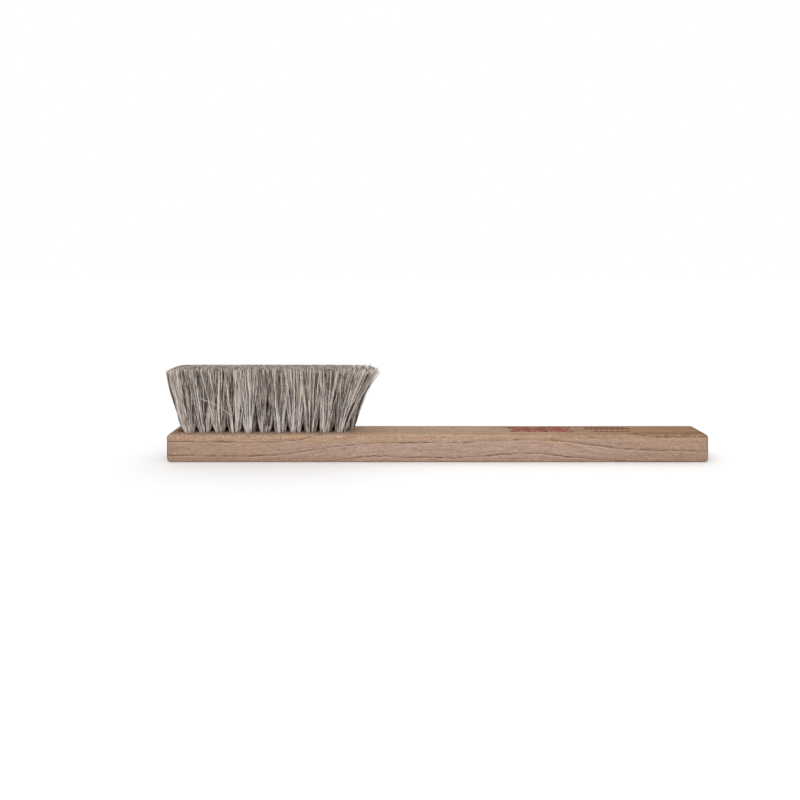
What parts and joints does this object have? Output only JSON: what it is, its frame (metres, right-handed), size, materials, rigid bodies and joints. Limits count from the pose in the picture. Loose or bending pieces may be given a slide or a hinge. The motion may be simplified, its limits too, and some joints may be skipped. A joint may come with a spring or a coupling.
{
  "type": "bee brush",
  "caption": "Straight wooden bar with staggered rows of soft horsehair tufts at one end, for sweeping bees off a comb.",
  "frame": {"origin": "centre of the bar's flat back, on the surface that the brush lies on", "axes": "+X along the bar from the brush end to the handle end, +Y across the bar, +Z from the flat back towards the hair tips"},
  "size_m": [0.4036, 0.03, 0.0691],
  "materials": {
    "beech": "sanded and lightly oiled steamed beech",
    "horsehair": "natural mixed light and grey-brown horsehair, soft sheen",
    "anchor_wire": "flat drawn wire, hidden inside the holes"
  },
  "bodies": {
    "root": {"handle_bar": "beech", "tuft_front_01": "horsehair", "tuft_front_02": "horsehair", "tuft_front_03": "horsehair", "tuft_front_04": "horsehair", "tuft_front_05": "horsehair", "tuft_front_06": "horsehair", "tuft_front_07": "horsehair", "tuft_front_08": "horsehair", "tuft_front_09": "horsehair", "tuft_front_10": "horsehair", "tuft_front_11": "horsehair", "tuft_back_01": "horsehair", "tuft_back_02": "horsehair", "tuft_back_03": "horsehair", "tuft_back_04": "horsehair", "tuft_back_05": "horsehair", "tuft_back_06": "horsehair", "tuft_back_07": "horsehair", "tuft_back_08": "horsehair", "tuft_back_09": "horsehair", "tuft_back_10": "horsehair", "tuft_back_11": "horsehair", "tuft_back_12": "horsehair", "anchor_front_01": "anchor_wire", "anchor_front_02": "anchor_wire", "anchor_front_03": "anchor_wire", "anchor_front_04": "anchor_wire", "anchor_front_05": "anchor_wire", "anchor_front_06": "anchor_wire", "anchor_front_07": "anchor_wire", "anchor_front_08": "anchor_wire", "anchor_front_09": "anchor_wire", "anchor_front_10": "anchor_wire", "anchor_front_11": "anchor_wire", "anchor_back_01": "anchor_wire", "anchor_back_02": "anchor_wire", "anchor_back_03": "anchor_wire", "anchor_back_04": "anchor_wire", "anchor_back_05": "anchor_wire", "anchor_back_06": "anchor_wire", "anchor_back_07": "anchor_wire", "anchor_back_08": "anchor_wire", "anchor_back_09": "anchor_wire", "anchor_back_10": "anchor_wire", "anchor_back_11": "anchor_wire", "anchor_back_12": "anchor_wire"}
  },
  "joints": []
}
